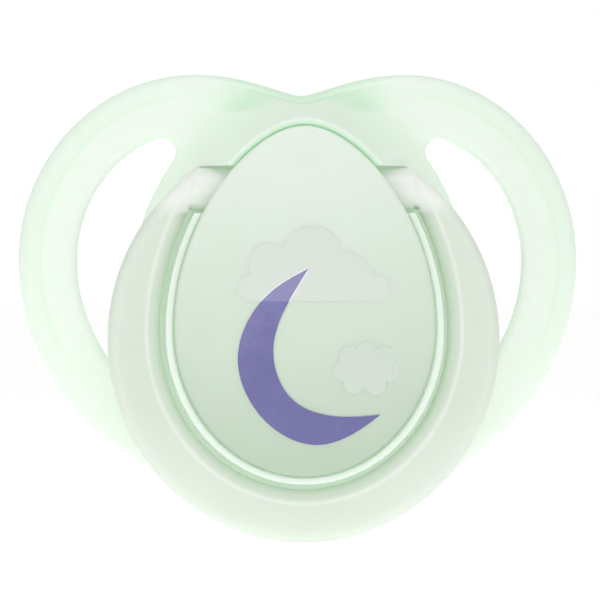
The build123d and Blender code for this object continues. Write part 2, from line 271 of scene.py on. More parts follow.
def spline(knots, count=200):
    """A natural cubic spline through knots: its second derivatives solve the usual
    three-term equations on chord lengths, and are zero at both ends."""
    knots = np.array(knots, float)
    chords = np.linalg.norm(np.diff(knots, axis=0), axis=1)
    at = np.concatenate([[0], np.cumsum(chords)])
    slopes = np.diff(knots, axis=0) / chords[:, None]
    system = np.eye(len(knots))
    inner = np.arange(1, len(knots) - 1)
    system[inner, inner - 1], system[inner, inner + 1] = chords[:-1], chords[1:]
    system[inner, inner] = 2 * (chords[:-1] + chords[1:])
    bend = np.zeros_like(knots)
    bend[1:-1] = 6 * np.diff(slopes, axis=0)
    bend = np.linalg.solve(system, bend)
    t = np.linspace(0, at[-1], count)
    k = np.clip(np.searchsorted(at, t) - 1, 0, len(chords) - 1)
    h, a, b = chords[k][:, None], (at[k + 1] - t)[:, None], (t - at[k])[:, None]
    return (
        (bend[k] * a**3 + bend[k + 1] * b**3) / (6 * h)
        + (knots[k] / h - bend[k] * h / 6) * a
        + (knots[k + 1] / h - bend[k + 1] * h / 6) * b
    )


def chain(*runs):
    """Runs joined end to end, without the points that they share."""
    points = np.concatenate(runs)
    steps = np.linalg.norm(np.diff(points, axis=0), axis=1)
    return points[np.concatenate([[True], steps > 1e-9])]


def milestones(path):
    """Distance along a path at each of its points."""
    return np.concatenate([[0], np.cumsum(np.linalg.norm(np.diff(path, axis=0), axis=1))])


def walk(path, start, end, shares):
    """Points of a path at shares of the stretch between two distances along it."""
    at = milestones(path)
    places = start + (end - start) * np.asarray(shares)
    return np.stack([np.interp(places, at, path[:, k]) for k in range(path.shape[1])], axis=1)


def whole(path, shares):
    """Points of a path at shares of its whole length."""
    return walk(path, 0, milestones(path)[-1], shares)


def at_height(path, height):
    """Distance along a rising path where it reaches a height."""
    return np.interp(height, path[:, 1], milestones(path))


def place_of(path, point):
    """Distance along a path where it comes nearest to a point."""
    return milestones(path)[np.argmin(np.linalg.norm(path - np.array(point), axis=1))]


def gap(points, path):
    """Shortest distance from each point of a grid to a path, segment by segment, row by row."""
    start, step = path[:-1], np.diff(path, axis=0)
    size = (step**2).sum(axis=1)

    def row_gap(row):
        away = row[:, None] - start
        share = np.clip((away * step).sum(axis=2) / size, 0, 1)
        return np.linalg.norm(away - share[..., None] * step, axis=2).min(axis=1)

    return np.stack([row_gap(row) for row in points])


def distances(x, z, path):
    """Shortest distance from each of many points, on either side of the middle, to a path."""
    points = np.stack([np.abs(x), z], axis=1)
    return np.concatenate([gap(part[None], path)[0] for part in np.array_split(points, 60)])


def side_of_egg(cap, grow=0.0):
    """The egg's right side from foot to top, moved outwards: a quarter ellipse below the widest
    line, and a cubic curve above it."""
    half, shoulder, top = cap.half_width + grow, cap.shoulder + grow / 2, cap.top + grow
    return chain(
        arc((0, cap.widest), (half, cap.widest - cap.bottom + grow), -90, 90),
        bezier([(half, cap.widest), (half, cap.widest + shoulder), (cap.crown + grow / 2, top), (0, top)]),
    )


def side_of_heart(s, inset=0.0):
    """The shield's right side from foot to dip, moved inwards: a quarter ellipse below the widest
    line, another round the lobe, and a cubic curve down into the dip."""
    side, lobe_top = s.half_width - inset, s.lobe_height - inset
    dip = lobe_top - s.dip_depth
    return chain(
        arc((0, s.widest_height), (side, s.widest_height - s.foot_height - inset), -90, 90),
        arc((s.lobe_spread, s.widest_height), (side - s.lobe_spread, lobe_top - s.widest_height), 0, 90),
        bezier([
            (s.lobe_spread, lobe_top), (s.lobe_spread - s.lobe_run, lobe_top), (s.dip_flat, dip), (0, dip),
        ]),
    )


def rounded_corner(first, second, radius):
    """Rounds the corner between two paths whose openings lie on their left. The arc's centre is
    where both paths, moved left by the radius, come nearest to each other.
    Gives the arc and where it leaves each path, as distances along them."""

    def moved(path):
        heading = np.gradient(path, axis=0)
        heading /= np.linalg.norm(heading, axis=1)[:, None]
        return path + radius * np.stack([-heading[:, 1], heading[:, 0]], axis=1)

    a, b = moved(first), moved(second)
    apart = np.linalg.norm(a[:, None] - b[None], axis=2)
    i, j = np.unravel_index(np.argmin(apart), apart.shape)
    centre = (a[i] + b[j]) / 2
    start, end = (np.degrees(np.arctan2(*(p - centre)[::-1])) for p in (first[i], second[j]))
    sweep = (end - start + 180) % 360 - 180
    turn = arc(centre, (radius, radius), start, sweep, 41)
    return turn, milestones(first)[i], milestones(second)[j]


# ---- surfaces ----------------------------------------------------------------------------


def barrel(front, across, up, x, z):
    """Front of a surface that bulges both ways: its furthest front, less the sag of a circle up
    and down and of a second circle across, whose radius shrinks by the first sag."""
    sag = up - np.sqrt(up**2 - z**2)
    return front - across + np.sqrt((across - sag) ** 2 - x**2)


def rounded(distance, radius):
    """How far a rounded rim falls below its face: a quarter circle over the last radius."""
    reach = np.clip(radius - distance, 0, radius)
    return radius - np.sqrt(radius**2 - reach**2)


def soft_max(a, b, blend):
    """The larger of two surfaces, with a parabola over the blend where they cross."""
    near = np.clip(blend - np.abs(a - b), 0, blend) / blend
    return np.maximum(a, b) + near**2 * blend / 4


def smooth_step(low, high, value):
    """0 below low, 1 above high, and a smooth cubic between."""
    t = np.clip((value - low) / (high - low), 0, 1)
    return t * t * (3 - 2 * t)


def crowded(count):
    """Shares from 0 to 1 that crowd together at both ends, as a half turn's cosine does."""
    return (1 - np.cos(np.pi * np.linspace(0, 1, count))) / 2


def between(inner, outer, shares):
    """Rows of (x, z) from one path's points to another's, at the given shares of the way."""
    shares = np.asarray(shares)[:, None, None]
    return inner + shares * (outer - inner)


def sheet(flat, front):
    """Rows of (x, z) and their fronts as rows of (x, y, z)."""
    front = np.broadcast_to(front, flat.shape[:2])
    return np.stack([flat[..., 0], -front, flat[..., 1]], axis=-1)


def mirrored(grids):
    """Each grid and its twin across the middle plane, with its columns turned round."""
    return [*grids, *[grid[:, ::-1] * (-1, 1, 1) for grid in grids]]


def circle_side(radius, columns):
    """The right half of a circle from its foot to its top, at shares of the half turn."""
    angle = np.pi * (np.asarray(columns) - 0.5)
    return radius * np.stack([np.cos(angle), np.sin(angle)], axis=1)


def turned(profile, centre, axis, count=48):
    """A profile of (radius, place along the axis) carried round a line through centre, along x
    or along y, as rows of full turns."""
    radius, along = np.array(profile, float).T
    angle = np.linspace(0, 2 * np.pi, count + 1)
    c, s = np.cos(angle), np.sin(angle)
    level = np.broadcast_to(along[:, None], (len(along), count + 1))
    if axis == "x":
        return np.stack([level, centre[1] + radius[:, None] * c, centre[2] + radius[:, None] * s], axis=-1)
    return np.stack([centre[0] + radius[:, None] * c, level, centre[2] + radius[:, None] * s], axis=-1)


def make_piece(name, grids, body, replaced, material, shade=None, sharp=35):
    """Welds grids into one closed mesh, with its faces outwards, and puts it in the frame.
    shade gives the attribute "depth" from x, y, z and how steeply the surface turns away: painted
    shade and painted light on the plastics, the ink's share on the prints."""
    corners, quads, start = [], [], 0
    for grid in grids:
        rows, columns = grid.shape[:2]
        index = start + np.arange(rows * columns).reshape(rows, columns)
        around = [index[:-1, :-1], index[:-1, 1:], index[1:, 1:], index[1:, :-1]]
        quads.append(np.stack(around, axis=-1).reshape(-1, 4))
        corners.append(grid.reshape(-1, 3))
        start += rows * columns
    corners, quads = np.concatenate(corners) * MM, np.concatenate(quads)
    mesh = bpy.data.meshes.new(name)
    mesh.vertices.add(len(corners))
    mesh.vertices.foreach_set("co", corners.astype(np.float32).ravel())
    mesh.loops.add(quads.size)
    mesh.loops.foreach_set("vertex_index", quads.astype(np.int32).ravel())
    mesh.polygons.add(len(quads))
    mesh.polygons.foreach_set("loop_start", np.arange(0, quads.size, 4, dtype=np.int32))
    mesh.update(calc_edges=True)
    welded = bmesh.new()
    welded.from_mesh(mesh)
    bmesh.ops.remove_doubles(welded, verts=welded.verts, dist=5e-7)
    bmesh.ops.dissolve_degenerate(welded, edges=welded.edges, dist=1e-7)
    bmesh.ops.recalc_face_normals(welded, faces=welded.faces)
    welded.to_mesh(mesh)
    welded.free()
    mesh.polygons.foreach_set("use_smooth", np.ones(len(mesh.polygons), bool))
    mesh.set_sharp_from_angle(angle=math.radians(sharp))
    if shade:
        place, normal = np.zeros(len(mesh.vertices) * 3), np.zeros(len(mesh.vertices) * 3)
        mesh.vertices.foreach_get("co", place)
        mesh.vertices.foreach_get("normal", normal)
        x, y, z = place.reshape(-1, 3).T / MM
        depth = np.clip(shade(x, y, z, 1 - np.abs(normal.reshape(-1, 3)[:, 1])), 0, 1)
        mesh.attributes.new("depth", "FLOAT", "POINT").data.foreach_set("value", depth.astype(np.float32))
    mesh.materials.append(material)
    piece = bpy.data.objects.new(name, mesh)
    bpy.context.scene.collection.objects.link(piece)
    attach(piece, body)
    if replaced:
        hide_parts(*replaced)
    return piece


# ---- the shield --------------------------------------------------------------------------

# Columns of the shield's right side, from its foot to its dip, between stations: the crescent's
# lower tip, the slot's foot, the slot's top, and the crescent's upper end.
STRETCHES = (64, 66, 20, 16, 48)
SLOT = 2
# Shares of the half turn round the teat at the stations, and where the cap's pegs stand.
TURN_SHARES = (0, 0.31, 0.62, 0.77, 0.86, 1)
PEG_SPOTS = ((0, -12.8), (0, 14.4), (-9.8, -3.0), (9.8, -3.0))
# Where the brow's flank fades in across, beside the ring's arms, and how far below the slots.
FLANK_FADE, FLANK_DROP = (9.4, 11.0), 1.5
# How deep the bearings and the posts stand in the plate.
BEARING_ROOT, POST_ROOT = 0.4, 0.6


def columns_of(path, places):
    """A path's points, evenly spaced in each stretch between distances along it. Stations have
    two columns each, so that a wall can stand between them."""
    ends = zip(places[:-1], places[1:], STRETCHES)
    return np.concatenate([walk(path, a, b, np.linspace(0, 1, n)) for a, b, n in ends])


def shield_columns(s, collar, cap):
    """Matching columns on the crescent's inner side, on its outer side and on the outline, from
    the foot to the dip, and the crescent's own loop. Past the crescent's ends both sides run on
    one line to the middle plane: below between the collar and the rim, above on the brow's end."""
    side, level = s.half_width - s.loop_band, (s.widest_height - s.foot_height - s.loop_band)
    body = arc((0, s.body_centre), (s.body_half, s.body_half_height), 65, -100, 1200)
    foot = arc((0, s.widest_height), (side, level), -90, 90, 700)
    lobe_radii = (side - s.lobe_spread, s.lobe_height - s.loop_band - s.widest_height)
    lobe = arc((s.lobe_spread, s.widest_height), lobe_radii, 0, 100, 700)
    upper, lower = body[body[:, 1] > 0], body[body[:, 1] < 0]
    crown, lobe_end, upper_start = rounded_corner(lobe, upper, s.corner_top)
    tip, lower_end, foot_start = rounded_corner(lower, foot, s.corner_tip)
    half = len(crown) // 2
    even = np.linspace(0, 1, 400)
    inner_side = chain(
        tip[: half + 1][::-1], walk(lower, lower_end, 0, even),
        walk(upper, milestones(upper)[-1], upper_start, even), crown[half:][::-1],
    )
    outer_side = chain(
        tip[half:], walk(foot, foot_start, milestones(foot)[-1], even), walk(lobe, 0, lobe_end, even),
        crown[: half + 1],
    )
    base = (cap.bottom - collar.seam - collar.wall + s.foot_height) / 2
    below = bezier([(0, base), (6.0, base), tip[half] - (4.0, 6.3), tip[half]])
    setback = side_of_heart(s, s.brow_setback)[-200:]
    turn = setback[np.argmin(np.abs(setback[:, 0] - 6.5))]
    bend = bezier([crown[half], crown[half] + (-0.6, 1.9), turn + (1.9, 0.6), turn])
    above = chain(bend, setback[setback[:, 0] < turn[0]])

    heights = (collar.slot_foot, collar.slot_top)
    marks = [np.interp(h, inner_side[40:-40, 1], milestones(inner_side)[40:-40]) for h in heights]
    ends = [0, *marks, milestones(inner_side)[-1]]
    counts = STRETCHES[1:4]
    shares = np.concatenate([[0], np.cumsum(counts)]) / sum(counts)
    rim = side_of_heart(s)
    low, high = place_of(rim, tip[half] * (1.27, 1.5)), place_of(rim, (crown[half][0] + 1, s.lobe_height))

    def stretches(path, places):
        return [walk(path, a, b, np.linspace(0, 1, n)) for a, b, n in zip(places[:-1], places[1:], counts)]

    start = whole(below, np.linspace(0, 1, STRETCHES[0]))
    finish = whole(above, np.linspace(0, 1, STRETCHES[4]))
    inner = np.concatenate([start, *stretches(inner_side, ends), finish])
    outer = np.concatenate([start, *stretches(outer_side, shares * milestones(outer_side)[-1]), finish])
    outline = columns_of(rim, [0, *(low + shares * (high - low)), milestones(rim)[-1]])
    return inner, outer, outline, chain(inner_side, outer_side[::-1])


class Shield:
    """The shield's formulas: its columns, and its front and back over (x, z)."""

    def __init__(self):
        self.s, self.cap, self.collar = sizes("soother_shield"), sizes("soother_cap"), sizes("soother_collar")
        self.inner, self.outer, self.outline, self.crescent = shield_columns(self.s, self.collar, self.cap)
        self.rim = side_of_heart(self.s)[::3]
        self.setback = side_of_heart(self.s, self.s.brow_setback)[-200:]
        self.foot_path = side_of_egg(self.cap, self.collar.seam + self.collar.wall)[::2]
        stretch = np.repeat(np.arange(len(STRETCHES)), STRETCHES)
        self.in_slot, self.has_brow = stretch == SLOT, stretch > SLOT

    def egg_row(self, grow):
        """Columns round the egg moved outwards, with stations at the slot's foot and top."""
        path = side_of_egg(self.cap, grow)
        at = milestones(path)
        foot, top = (np.interp(h, path[:, 1], at) for h in (self.collar.slot_foot, self.collar.slot_top))
        return columns_of(path, [0, foot / 2, foot, top, top + (at[-1] - top) * 0.27, at[-1]])

    def plate(self, flat):
        """The plate's front: the barrel, less a facet outside the crease on the loops' sides."""
        s, (x, z) = self.s, np.moveaxis(flat, -1, 0)
        angle = np.degrees(np.arctan2(z - s.widest_height, x))
        sides = smooth_step(-32, -12, angle) * smooth_step(62, 40, angle)
        outside = np.clip(1 - gap(flat, self.rim) / s.crease_inset, 0, 1)
        return barrel(s.plate_front, s.cheek_radius, s.face_radius, x, z) - s.crease_fall * outside * sides

    def edge_fall(self, flat):
        """How far a face falls towards the nearest edge of the plate: the rim or the crescent."""
        nearest = np.minimum(gap(flat, self.rim), gap(flat, self.crescent))
        return rounded(nearest, self.s.edge_round)

    def front(self, flat, past_wall=1.0):
        """The plate's front with the brow above the slots: a straight fall from the collar's rim
        over the flare, which runs on below the slots' tops only outside the ring's arms. past_wall
        is 0 where the brow has ended in its wall at the dip."""
        s, c, rim = self.s, self.collar, self.collar.front
        plate = self.plate(flat) - self.edge_fall(flat)
        plate = np.where(self.in_slot, np.minimum(plate, c.slot_back), plate)
        brow = rim - (rim - s.brow_root) * gap(flat, self.foot_path) / s.brow_flare
        brow -= rounded(gap(flat, self.setback), s.brow_edge)
        x, z = np.moveaxis(flat, -1, 0)
        beside_arm = smooth_step(*FLANK_FADE, x) * smooth_step(c.slot_foot - FLANK_DROP, c.slot_top, z)
        share = past_wall * np.where(self.has_brow, 1.0, beside_arm)
        return plate + share * (soft_max(plate, brow, s.brow_blend) - plate)

    def back(self, flat):
        """The plate's back: the inner barrel, with its rims rounded the other way."""
        s, (x, z), thick = self.s, np.moveaxis(flat, -1, 0), self.s.plate_thickness
        inner = barrel(s.plate_front - thick, s.cheek_radius - thick, s.face_radius - thick, x, z)
        return inner + self.edge_fall(flat)

    def core(self, foot, foot_front):
        """Rows from the neck's hole over the socket, the floor, the ledge and the collar's rim to
        the collar's foot. In the slots everything is cut down to their floor."""
        c, columns = self.collar, np.concatenate(
            [np.linspace(a, b, n) for a, b, n in zip(TURN_SHARES[:-1], TURN_SHARES[1:], STRETCHES)]
        )
        hole, socket, outer = (
            circle_side(r, columns) for r in (c.neck_hole, c.socket_radius, c.socket_radius + c.socket_wall)
        )
        ledge, edge, lip = self.egg_row(-c.ledge_width), c.seam + c.wall, c.lip
        floor = between(outer, ledge, np.linspace(0, 1, 6))
        rows = [
            (hole, 0), (hole, c.seat), (socket, c.seat), (socket, c.socket_front), (outer, c.socket_front),
        ]
        rows += list(zip(floor, self.plate(floor)))
        raised = [
            (ledge, c.ledge), (self.egg_row(c.seam), c.ledge), (self.egg_row(c.seam), c.front - lip),
            (self.egg_row(c.seam + lip / 3), c.front - lip / 3), (self.egg_row(c.seam + lip), c.front),
            (self.egg_row(edge - lip), c.front),
            (self.egg_row(edge - lip / 3), np.maximum(c.front - lip / 3, foot_front)),
            (foot, np.maximum(c.front - lip, foot_front)),
        ]
        rows += [(row, np.where(self.in_slot, foot_front, front)) for row, front in raised]
        rows += [(foot, foot_front)]
        return np.stack([sheet(row[None], front)[0] for row, front in rows]), columns

    def grids(self):
        """The right half, from the neck's hole outwards on the front and back in behind."""
        s, c = self.s, self.collar
        foot = self.egg_row(c.seam + c.wall)
        inside = between(foot, self.inner, crowded(20))
        outside = between(self.outer, self.outline, crowded(28))
        front_in = self.front(inside)
        front_out = self.front(outside, smooth_step(5.2, 8.0, self.inner[:, 0]))
        back_in, back_out = self.back(inside), self.back(outside)
        core, columns = self.core(foot, front_in[0])
        pad = circle_side(s.pad_radius, columns)
        behind = between(pad, foot, np.linspace(0, 1, 10))
        behind_front = self.back(behind)
        pad_rows = np.stack([circle_side(c.neck_hole, columns), pad, pad])
        pad_front = np.stack([0 * columns, np.minimum(0, behind_front[0]), behind_front[0]])
        opening = slice(STRETCHES[0], sum(STRETCHES[:4]))

        def wall(flat, front, back):
            shares = np.linspace(0, 1, 3)[:, None]
            return sheet(np.stack([flat] * 3), front + shares * (back - front))

        step = sheet(np.stack([self.inner, self.outer]), np.stack([front_in[-1], front_out[0]]))
        return [
            core, sheet(inside, front_in), sheet(outside, front_out),
            wall(self.outline, front_out[-1], back_out[-1]),
            sheet(outside, back_out), sheet(inside, back_in),
            sheet(behind, behind_front), sheet(pad_rows, pad_front),
            wall(self.inner, front_in[-1], back_in[-1])[:, opening],
            wall(self.outer, front_out[0], back_out[0])[:, opening],
            step[:, opening.stop :],
        ]


def bearings_and_posts(c, cap):
    """Blocks that hold the hinge pins, as a square carried round a bore, and the posts for the
    cap's pegs, as a ring's profile turned about each peg."""
    back = -HINGE.y - c.slot_back + BEARING_ROOT
    angle = np.linspace(0, 2 * np.pi, 65)
    ring = np.stack([np.cos(angle), np.sin(angle)], axis=1)
    square = ring / np.abs(ring).max(axis=1)[:, None]
    tall = (c.slot_top - c.slot_foot) / 2
    ahead = c.bearing_front + HINGE.y
    deep = np.where(square[:, 0] > 0, back, ahead)
    corners, hole = np.stack([square[:, 0] * deep, square[:, 1] * tall], axis=1), ring * c.bearing_bore
    near, far = c.bearing_face, c.bearing_face - c.bearing_width
    faces = [(corners, near), (corners, far), (hole, far), (hole, near), (corners, near)]
    grids = []
    for side in (1, -1):
        grids.append(np.stack([
            np.stack([np.full(65, side * x), HINGE.y + flat[:, 0], HINGE.z + flat[:, 1]], axis=1)
            for flat, x in faces
        ]))
    outer, bore, front, floor = c.post_radius, c.post_bore, -c.post_front, -c.post_floor
    root = floor + POST_ROOT
    post = [(0, root), (outer, root), (outer, front), (bore, front), (bore, floor), (0, floor)]
    grids += [turned(post, (x, 0, z), "y") for x, z in PEG_SPOTS]
    return grids


# ---- the ring handle ---------------------------------------------------------------------


# A cubic curve whose control points lie this share along its tangents is nearly a quarter ellipse.
QUARTER_SHARE = 0.5523


def ring_grids(r, cap):
    """The right half of the band: rows from the opening's edge to the outline, whose half
    thickness falls at both edges, with a knuckle's cylinder raised from it at the arm's end."""
    opening = side_of_egg(cap, r.opening)
    share = QUARTER_SHARE
    outline = chain(
        arc((0, r.widest), (r.half_width, r.widest - r.foot), -90, 90),
        bezier([
            (r.half_width, r.widest), (r.half_width, r.widest + share * (r.crest - r.widest)),
            (share * r.half_width, r.crest), (0, r.crest),
        ]),
    )
    top, low = HINGE.z + r.knuckle_radius, HINGE.z - r.knuckle_radius
    eased = np.sin(np.pi / 2 * np.linspace(0, 1, 40))
    meet = walk(opening, 0, at_height(opening, low), [1.0])[0]
    level = np.stack([np.linspace(meet[0], r.knuckle_inset, 24), np.full(24, low)], axis=1)
    up = np.stack([np.full(40, r.knuckle_inset), low + (top - low) * crowded(40)], axis=1)
    inner = np.concatenate([walk(opening, 0, at_height(opening, low), np.linspace(0, 1, 260)), level, up])
    outer_low, outer_mid = at_height(outline, low - 0.3), at_height(outline, low + 0.9)
    outer = np.concatenate([
        walk(outline, 0, outer_low, np.linspace(0, 1, 260)),
        walk(outline, outer_low, outer_mid, np.linspace(0, 1, 24)),
        walk(outline, outer_mid, at_height(outline, top), eased),
    ])
    flat = between(inner, outer, crowded(30))
    x, z = np.moveaxis(flat, -1, 0)
    to_opening, to_outline = gap(flat, opening[::2]), gap(flat, outline[::2])
    to_opening += 3 * smooth_step(low - 0.5, low + 0.3, z)
    inside = x < np.interp(z, opening[:, 1], opening[:, 0]) - 1e-4
    height = np.clip(z - HINGE.z, -r.knuckle_radius, r.knuckle_radius)
    cylinder = np.sqrt(np.maximum(r.knuckle_radius**2 - height**2, 0))
    fall = rounded(np.minimum(to_opening, to_outline), r.rounding)
    crease = r.crease_fall * np.clip(1 - to_opening / r.crease_inset, 0, 1)
    band = r.thickness / 2 - fall - crease
    arm_foot = r.thickness / 2 - rounded(np.maximum(z - low, 0), r.rounding)
    band = np.where(inside, arm_foot, band)
    band = np.where(z > HINGE.z, np.minimum(band, cylinder), band)
    knuckle_end = r.knuckle_inset + r.knuckle_length
    length = smooth_step(knuckle_end + 0.5, knuckle_end - 0.5, x)
    end = rounded(np.where(z > low, x - r.knuckle_inset, 9.0), 0.25)
    knuckle = np.where(z > low, cylinder * length, 0)
    half = np.maximum(band, knuckle) * (1 - end / r.knuckle_radius)
    front = -HINGE.y
    shares = np.linspace(1, -1, 5)[:, None]

    def edge(row):
        return sheet(np.stack([flat[row]] * 5), front + shares * half[row])

    right = [sheet(flat, front + half), sheet(flat, front - half), edge(0), edge(-1)]
    last = np.stack([sheet(flat, front + half)[:, -1], sheet(flat, front - half)[:, -1]])
    pin = [
        (0, r.knuckle_inset + 0.4), (r.pin_radius, r.knuckle_inset + 0.4),
        (r.pin_radius, r.knuckle_inset - r.pin_length + 0.2),
        (r.pin_radius - 0.06, r.knuckle_inset - r.pin_length + 0.06),
        (r.pin_radius - 0.2, r.knuckle_inset - r.pin_length), (0, r.knuckle_inset - r.pin_length),
    ]
    return mirrored([*right, last, turned(pin, HINGE, "x")])


# ---- the cap, its prints and the teat ----------------------------------------------------


def dome_at(cap, x, z, inside=0.0):
    """Front of the cap's dome, or of the dome that lies a distance inside it."""
    return barrel(cap.dome_front - inside, cap.radius_across - inside, cap.radius_up - inside, x, z)


def cap_grids(cap):
    """The right half of the dome from its middle to its rim, its side wall and its hollow, then
    the tube and the pegs inside."""
    columns = np.linspace(0, 1, 180)
    rim, hollow = (whole(side_of_egg(cap, grow), columns) for grow in (0, -cap.wall))
    middle = np.zeros((180, 2))
    ledge = sizes("soother_collar").ledge
    shares = np.sin(np.pi / 2 * np.linspace(0, 1, 40))
    dome = between(middle, rim, shares)
    under = between(hollow, middle, np.linspace(0, 1, 24))
    x, z = np.moveaxis(dome, -1, 0)
    front = dome_at(cap, x, z)
    front -= rounded(gap(dome, side_of_egg(cap)[::2]), cap.rim)
    x, z = np.moveaxis(under, -1, 0)
    back = dome_at(cap, x, z, cap.wall)
    wall = sheet(np.stack([rim, rim, hollow, hollow]), np.stack([
        front[-1], np.full(180, ledge), np.full(180, ledge), np.maximum(back[0], ledge)
    ]))
    inside = -(cap.dome_front - cap.wall - 0.5)
    tube, bore = cap.hub_radius, cap.hub_radius - cap.hub_wall
    hub = [(bore, inside), (tube, inside), (tube, -cap.hub_front), (bore, -cap.hub_front), (bore, inside)]
    pegs = []
    for px, pz in PEG_SPOTS:
        root = -barrel(cap.dome_front - cap.wall / 2, cap.radius_across, cap.radius_up, px, pz)
        peg = [(0, root), (cap.peg_radius, root), (cap.peg_radius, -cap.peg_front), (0, -cap.peg_front)]
        pegs.append(turned(peg, (px, 0, pz), "y", 32))
    shell = mirrored([sheet(dome, front), wall, sheet(under, np.maximum(back, ledge))])
    return [*shell, turned(hub, (0, 0, 0), "y", 64), *pegs]


def film(flat, cap, lift, root):
    """A film of ink: rows of (x, z) laid on the dome at its thickness, and back at its root."""
    x, z = np.moveaxis(flat, -1, 0)
    dome = dome_at(cap, x, z)
    over, under = sheet(flat, dome + lift), sheet(flat, dome - root)
    return np.concatenate([over, under[::-1], over[:1]])


MOON_OUTER = (
    (0.2, 3.3), (-3.3, 1.2), (-6.2, -2.5), (-7.0, -6.0), (-5.6, -10.5), (-2.6, -13.6), (1.1, -14.8),
    (5.0, -13.6), (7.7, -11.7),
)
MOON_INNER = ((0.2, 3.3), (-1.9, -0.2), (-3.4, -5.2), (-1.2, -10.3), (3.6, -11.9), (7.7, -11.7))
# Clouds: the middle, bumps as (across, up, radius) from it, the half axes of an oval that fills
# the middle, and how far down the flat base lies, if there is one.
LARGE_CLOUD = (
    (0.7, 1.5),
    ((-6.35, -0.25, 1.4), (-4.55, 2.35, 2.1), (-0.1, 2.95, 3.2), (3.2, 0.5, 3.0), (6.4, -0.25, 1.45)),
    (6.3, 0.4), -1.55,
)
SMALL_CLOUD = (
    (6.2, -6.9),
    ((0, 1.65, 1.05), (-1.8, 1.2, 1.05), (1.9, 1.15, 1.05), (-2.4, -0.3, 1.05), (2.4, -0.3, 1.05),
     (-1.3, -1.55, 1.05), (1.0, -1.7, 1.05)),
    (2.75, 2.05), None,
)


def cloud_outline(cloud, count=720):
    """How far a ray from the cloud's middle runs at each angle: to the furthest side of the bumps
    and of an oval middle that it meets. A cloud with a flat base is filled down to it."""
    middle, bumps, (half_across, half_up), base = cloud
    angle = np.linspace(0, 2 * np.pi, count + 1)
    c, s = np.cos(angle), np.sin(angle)
    across, up, radius = np.array(bumps).T[:, :, None]
    towards = across * c + up * s
    inside = radius**2 - (across**2 + up**2 - towards**2)
    reach = np.where(inside > 0, towards + np.sqrt(np.maximum(inside, 0)), 0).max(axis=0)
    reach = np.maximum(reach, 1 / np.hypot(c / half_across, s / half_up))
    if base:
        to_base = base / np.minimum(s, -1e-6)
        slab = np.minimum(half_across / np.maximum(np.abs(c), 1e-6), to_base)
        reach = np.where(s < 0, np.minimum(np.maximum(reach, slab), to_base), reach)
    return np.array(middle) + reach[:, None] * np.stack([c, s], axis=1)


def cloud_grid(cloud, cap, p):
    """A cloud's film, in rows from its middle to its outline."""
    outline = cloud_outline(cloud)
    middle = np.broadcast_to(np.array(cloud[0]), outline.shape)
    return film(between(middle, outline, np.linspace(0, 1, 12)), cap, p.cloud_lift, p.root)


def moon_sides(count):
    """The moon's two sides from its upper tip to its lower one, as splines."""
    outer, inner = spline(MOON_OUTER, 900), spline(MOON_INNER, 900)
    return [whole(side, crowded(count)) for side in (outer, inner)]


HALO_OVERLAP = 0.12  # how far the white line runs in under the moon's edge


def halo_grids(cap, p):
    """The white line round the moon's tip where it lies on the cloud: a strip that follows the
    outline up one side, over the tip and down the other, and a fan that closes each end."""
    outer, inner = spline(MOON_OUTER, 900), spline(MOON_INNER, 900)
    base = LARGE_CLOUD[0][1] + LARGE_CLOUD[3]
    path = chain(inner[inner[:, 1] > base][::-1], outer[outer[:, 1] > base])
    path = whole(path, np.linspace(0, 1, 160))
    heading = np.gradient(path, axis=0)
    heading /= np.linalg.norm(heading, axis=1)[:, None]
    out = np.stack([heading[:, 1], -heading[:, 0]], axis=1)
    strip = between(path - HALO_OVERLAP * out, path + p.halo * out, np.linspace(0, 1, 3))
    grid = film(strip, cap, p.halo_lift, p.root)
    caps = [np.stack([end, np.broadcast_to(end[:1], end.shape)], axis=1) for end in (grid[:, 0], grid[:, -1])]
    return [grid, *caps]


TEAT_STATIONS = (
    (0.0, 5.0, 5.0), (5.0, 4.9, 4.7), (10.0, 5.4, 4.5), (16.0, 7.1, 5.1), (22.0, 7.8, 5.5), (26.0, 6.8, 4.8),
    (29.0, 3.8, 2.6),
)

TEAT_TIP, TIP_POWER = 3.4, 0.8  # length of the rounded end, and the power of its cosine


def teat_grids(t):
    """Ovals along the teat, whose half-sides follow a spline through the stations and close in a
    quarter ellipse at the tip, outside and again inside the wall; then the neck and flange."""
    stations = spline(TEAT_STATIONS, 400)
    close = t.length - TEAT_TIP
    at = np.linspace(0, close, 60)
    wide, tall = (np.interp(at, stations[:, 0], stations[:, k]) for k in (1, 2))
    turn = np.linspace(0, np.pi / 2, 24)[1:]
    at = np.concatenate([at, close + TEAT_TIP * np.sin(turn)])
    wide = np.concatenate([wide, wide[-1] * np.cos(turn) ** TIP_POWER])
    tall = np.concatenate([tall, tall[-1] * np.cos(turn) ** TIP_POWER])
    angle = np.linspace(0, 2 * np.pi, 97)

    def ovals(back, across, up):
        back, across, up = (np.asarray(v, float)[:, None] for v in (back, across, up))
        return np.stack([across * np.cos(angle), back + 0 * angle, up * np.sin(angle)], axis=-1)

    inner = at[-1] - t.wall
    keep = at < inner - 0.05
    wide_in, tall_in = (np.maximum(half[keep] - t.wall, 0) for half in (wide, tall))
    hollow = ovals([*at[keep], inner], [*wide_in, 0], [*tall_in, 0])
    front, back, bevel = -t.flange_front, -t.flange_back, 0.15
    neck = turned([
        (t.bore, 0), (t.bore, front), (t.flange - bevel, front), (t.flange, front + bevel),
        (t.flange, back - bevel), (t.flange - bevel, back), (t.neck, back), (t.neck, 0),
    ], (0, 0, 0), "y", 96)
    return [neck, ovals(at, wide, tall), hollow]


# ---- materials ---------------------------------------------------------------------------


